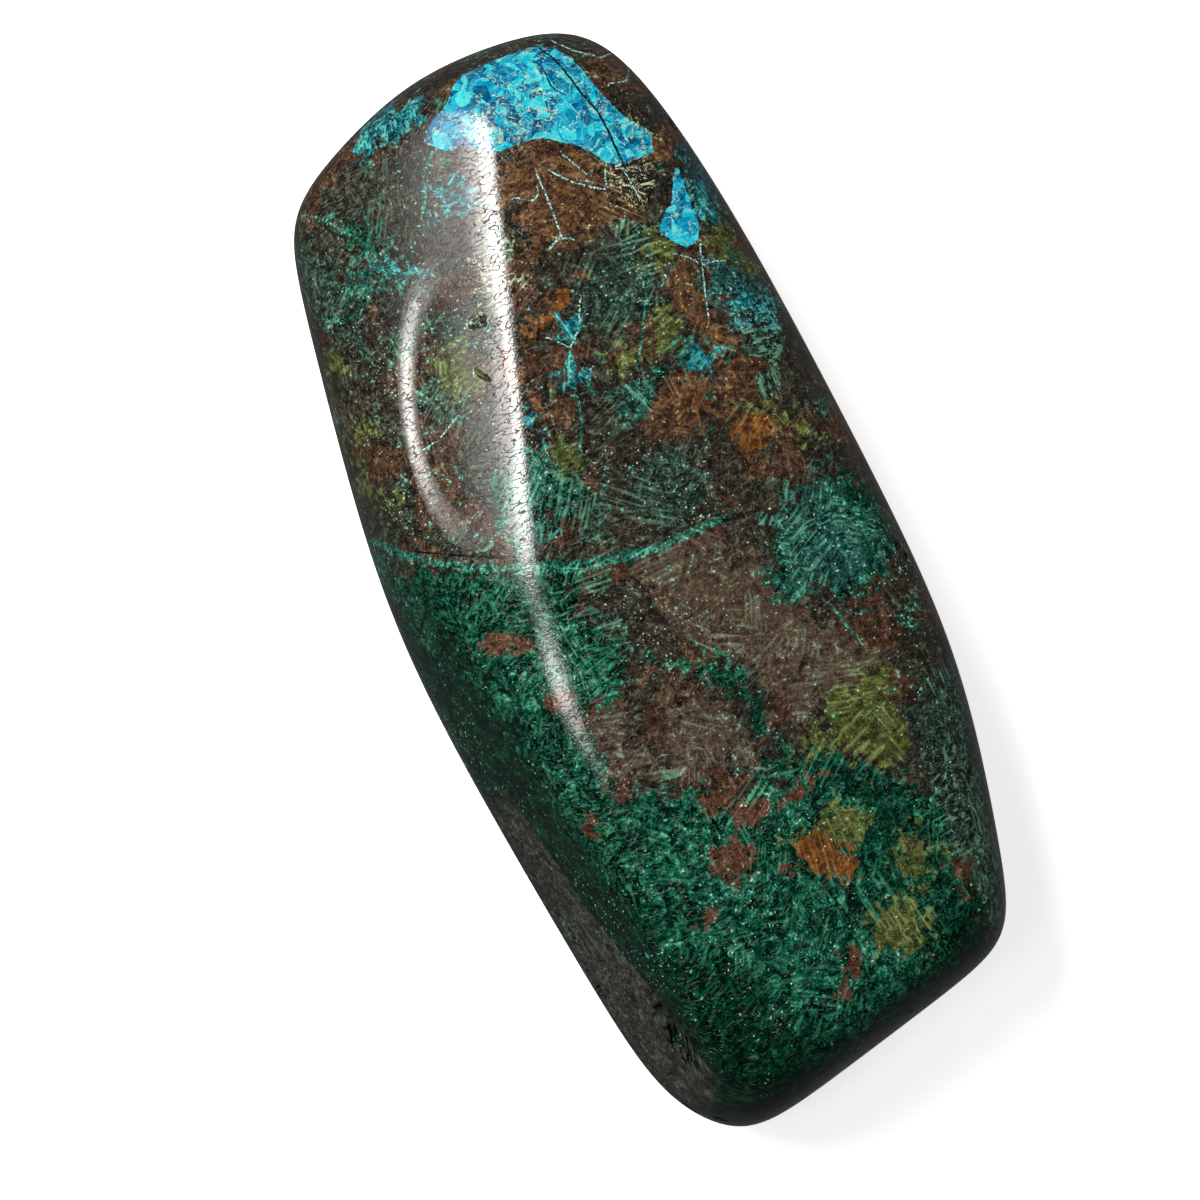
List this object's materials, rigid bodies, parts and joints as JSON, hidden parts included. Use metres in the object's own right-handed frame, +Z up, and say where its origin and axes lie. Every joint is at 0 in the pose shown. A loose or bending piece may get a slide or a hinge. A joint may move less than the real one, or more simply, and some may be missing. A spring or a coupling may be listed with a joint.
{
  "type": "polished chrysocolla freeform",
  "caption": "Polished freeform stone of chrysocolla, malachite and cuprite: a long rounded slab with slanted ends that lies on its flatter back.",
  "frame": {"origin": "middle of the footprint's box, on the plane that the stone rests on", "axes": "+Y along the stone towards its blue end, +X across it, +Z up out of its polished front"},
  "size_m": [0.043, 0.0941, 0.0241],
  "materials": {
    "polished_stone": "high polish over mottled green, brown and blue copper minerals, with small open pits"
  },
  "bodies": {
    "root": {"stone": "polished_stone"}
  },
  "joints": []
}
